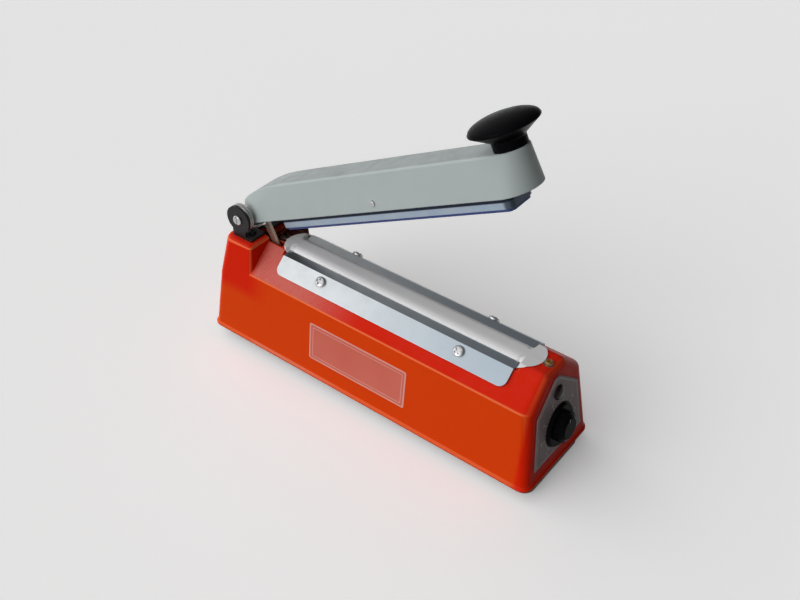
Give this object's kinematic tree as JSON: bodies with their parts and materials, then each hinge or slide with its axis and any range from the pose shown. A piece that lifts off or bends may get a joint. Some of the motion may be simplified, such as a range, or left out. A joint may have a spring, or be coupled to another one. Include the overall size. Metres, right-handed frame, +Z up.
{
  "type": "hand impulse heat sealer",
  "caption": "Table-top hand impulse heat sealer: a ridged housing with a covered sealing bar and a timer knob, and a sprung lever arm that swings a padded press bar down onto it.",
  "frame": {"origin": "middle of the part's bounding box at the table, under the rubber feet", "axes": "+X along the body from the hinge to the timer knob, +Y to the rear, +Z up"},
  "size_m": [0.3088, 0.086, 0.2667],
  "materials": {
    "body_paint": "gloss enamel",
    "arm_paint": "satin enamel",
    "black_plastic": "gloss",
    "black_steel": "satin black",
    "bright_steel": "bright",
    "zinc_plate": "zinc plated",
    "tan_steel": "dull",
    "terminal_brass": "bright",
    "ptfe_cloth": "woven, coated",
    "foot_rubber": "matt",
    "silicone": "matt",
    "panel_grey": "satin",
    "lens_tint": "gloss",
    "mould_dark": "matt",
    "mould_white": "matt",
    "lamination": "varnished",
    "winding": "taped winding",
    "board_green": "lacquered",
    "plunger_red": "matt"
  },
  "bodies": {
    "base": {"body_housing": "body_paint", "base_plate": "bright_steel", "rubber_feet": "foot_rubber", "base_screws": "bright_steel", "cord_grommet": "foot_rubber", "sealing_bar": "bright_steel", "insulating_tape": "tan_steel", "heating_strip": "bright_steel", "ptfe_cover": "ptfe_cloth", "front_clamp_plate": "zinc_plate", "rear_clamp_plate": "zinc_plate", "clamp_screws": "bright_steel", "terminal_bushes": "mould_dark", "terminal_screws": "terminal_brass", "hinge_bracket": "black_steel", "bracket_screws": "black_steel", "hinge_pin": "bright_steel", "pin_clip": "bright_steel", "torsion_springs": "bright_steel", "micro_switch": "mould_dark", "switch_bracket": "bright_steel", "switch_screws": "bright_steel", "control_panel": "panel_grey", "timer_body": "mould_dark", "timer_nut": "bright_steel", "indicator_lens": "lens_tint", "lamp_holder": "mould_white", "transformer_core": "lamination", "transformer_coil": "winding", "transformer_frame": "bright_steel", "transformer_screws": "bright_steel", "timer_board": "board_green", "board_standoffs": "mould_white", "board_parts": "mould_dark"},
    "arm": {"lever_arm": "arm_paint", "pivot_pin": "bright_steel", "handle": "black_plastic", "handle_screw": "bright_steel", "hinge_sleeve": "bright_steel", "switch_tongue": "tan_steel", "tongue_screws": "bright_steel"},
    "press": {"press_bar": "zinc_plate", "silicone_pad": "silicone"},
    "knob": {"timer_knob": "black_plastic", "timer_shaft": "bright_steel"},
    "plunger": {"switch_plunger": "plunger_red"}
  },
  "joints": [
    {"name": "arm_hinge", "type": "hinge", "parent": "base", "child": "arm", "pos_m": [-0.12894, 0, 0.1119], "axis": [0, 1, 0], "range_deg": [0, 26.5], "stiffness_Nm_per_rad": 2.5, "springref_deg": -28.65, "deforming": ["torsion_springs"]},
    {"name": "press_rock", "type": "hinge", "parent": "arm", "child": "press", "pos_m": [-0.00406, 0, 0.17249], "axis": [0, 1, 0], "range_deg": [-0.4, 0.4]},
    {"name": "timer_turn", "type": "hinge", "parent": "base", "child": "knob", "pos_m": [0.14314, 0, 0.043], "axis": [0.9936, 0, 0.1132], "range_deg": [-135, 135]},
    {"name": "plunger_press", "type": "slide", "parent": "base", "child": "plunger", "axis": [0, 0, -1], "range_m": [0, 0.0012], "stiffness_N_per_m": 600, "springref_m": -0.002}
  ]
}
